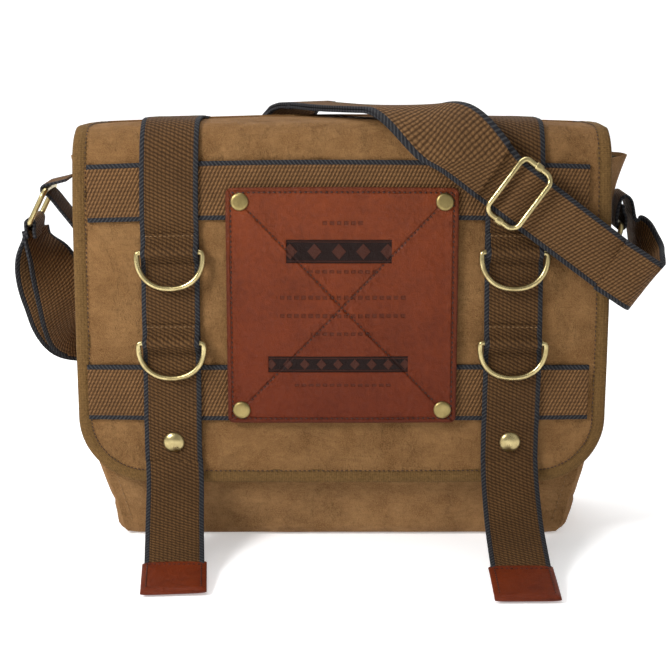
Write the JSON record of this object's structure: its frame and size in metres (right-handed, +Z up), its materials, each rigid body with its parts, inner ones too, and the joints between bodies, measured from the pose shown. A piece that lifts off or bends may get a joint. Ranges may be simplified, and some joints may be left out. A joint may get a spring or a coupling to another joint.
{
  "type": "messenger bag",
  "caption": "Canvas messenger bag with webbing-strapped flap, leather patch, swinging D-rings, two loose strap tails and an adjustable shoulder strap laid over it.",
  "frame": {"origin": "centre of the base, on the floor", "axes": "+X across the bag to the right seen from its front, +Y towards its back, +Z up"},
  "size_m": [0.4355, 0.254, 0.2953],
  "materials": {
    "waxed_canvas": "matte waxed cotton canvas, tobacco brown",
    "webbing": "coarse ribbed cotton webbing, brown with dark edges",
    "binding_tape": "twill tape, olive brown",
    "lining_cloth": "plain lining cloth, dark olive",
    "leather": "smooth pull-up leather, red brown",
    "antique_brass": "brushed antique brass",
    "board": "pressed board"
  },
  "bodies": {
    "bag": {"front_panel": "waxed_canvas", "back_panel": "waxed_canvas", "gusset_left": "waxed_canvas", "gusset_right": "waxed_canvas", "base_panel": "waxed_canvas", "base_stiffener": "board", "lining": "lining_cloth", "snap_socket_left": "antique_brass", "snap_socket_right": "antique_brass", "ring_anchor_left": "webbing", "ring_anchor_right": "webbing", "shoulder_strap_rear": "webbing", "shoulder_strap_crest": "webbing", "shoulder_strap_return": "webbing"},
    "flap": {"flap_panel": "waxed_canvas", "flap_binding": "binding_tape", "webbing_band_upper": "webbing", "webbing_band_lower": "webbing", "flap_webbing_left": "webbing", "flap_webbing_right": "webbing", "leather_patch": "leather", "patch_rivet_upper_left": "antique_brass", "patch_rivet_upper_right": "antique_brass", "patch_rivet_lower_left": "antique_brass", "patch_rivet_lower_right": "antique_brass", "ring_keeper_upper_left": "webbing", "ring_keeper_upper_right": "webbing", "ring_keeper_lower_left": "webbing", "ring_keeper_lower_right": "webbing", "snap_cap_left": "antique_brass", "snap_cap_right": "antique_brass", "snap_stud_left": "antique_brass", "snap_stud_right": "antique_brass", "shoulder_strap_front": "webbing", "shoulder_strap_adjusting": "webbing"},
    "slider": {"slider_frame": "antique_brass", "slider_bar": "antique_brass"},
    "tail_left": {"tail_webbing_left": "webbing", "tail_tip_left": "leather"},
    "tail_right": {"tail_webbing_right": "webbing", "tail_tip_right": "leather"},
    "side_ring_left": {"side_ring_left": "antique_brass", "strap_end_left": "webbing"},
    "side_ring_right": {"side_ring_right": "antique_brass", "strap_end_right": "webbing"},
    "d_ring_upper_left": {"d_ring_upper_left": "antique_brass"},
    "d_ring_upper_right": {"d_ring_upper_right": "antique_brass"},
    "d_ring_lower_left": {"d_ring_lower_left": "antique_brass"},
    "d_ring_lower_right": {"d_ring_lower_right": "antique_brass"}
  },
  "joints": [
    {"name": "flap_open", "type": "hinge", "parent": "bag", "child": "flap", "pos_m": [0, 0.05, 0.2753], "axis": [-1, 0, 0], "range_deg": [0, 90], "deforming": ["shoulder_strap_crest", "shoulder_strap_return"]},
    {"name": "d_ring_upper_left_swing", "type": "hinge", "parent": "flap", "child": "d_ring_upper_left", "pos_m": [-0.1115, -0.06975, 0.19965], "axis": [-0.998, 0.0581, -0.0241], "range_deg": [0, 150]},
    {"name": "d_ring_upper_right_swing", "type": "hinge", "parent": "flap", "child": "d_ring_upper_right", "pos_m": [0.1115, -0.06975, 0.19965], "axis": [-0.998, -0.0581, 0.0241], "range_deg": [0, 15]},
    {"name": "d_ring_lower_left_swing", "type": "hinge", "parent": "flap", "child": "d_ring_lower_left", "pos_m": [-0.1115, -0.07065, 0.14016], "axis": [-0.9982, 0.0581, -0.015], "range_deg": [0, 150]},
    {"name": "d_ring_lower_right_swing", "type": "hinge", "parent": "flap", "child": "d_ring_lower_right", "pos_m": [0.1115, -0.07065, 0.14016], "axis": [-0.9982, -0.0581, 0.015], "range_deg": [0, 150]},
    {"name": "tail_left_lift", "type": "hinge", "parent": "flap", "child": "tail_left", "pos_m": [-0.1115, -0.0652, 0.0571], "axis": [-1, 0, 0], "range_deg": [0, 80]},
    {"name": "tail_right_lift", "type": "hinge", "parent": "flap", "child": "tail_right", "pos_m": [0.1115, -0.0652, 0.0571], "axis": [-1, 0, 0], "range_deg": [0, 80]},
    {"name": "side_ring_left_swing", "type": "hinge", "parent": "bag", "child": "side_ring_left", "pos_m": [-0.199, 0, 0.234], "axis": [0, 1, 0], "range_deg": [0, 10]},
    {"name": "side_ring_right_swing", "type": "hinge", "parent": "bag", "child": "side_ring_right", "pos_m": [0.1825, 0, 0.19], "axis": [0, 1, 0], "range_deg": [0, 10]},
    {"name": "slider_adjust", "type": "slide", "parent": "flap", "child": "slider", "axis": [0.8092, 0.05, -0.5854], "range_m": [-0.01, 0.01]}
  ]
}
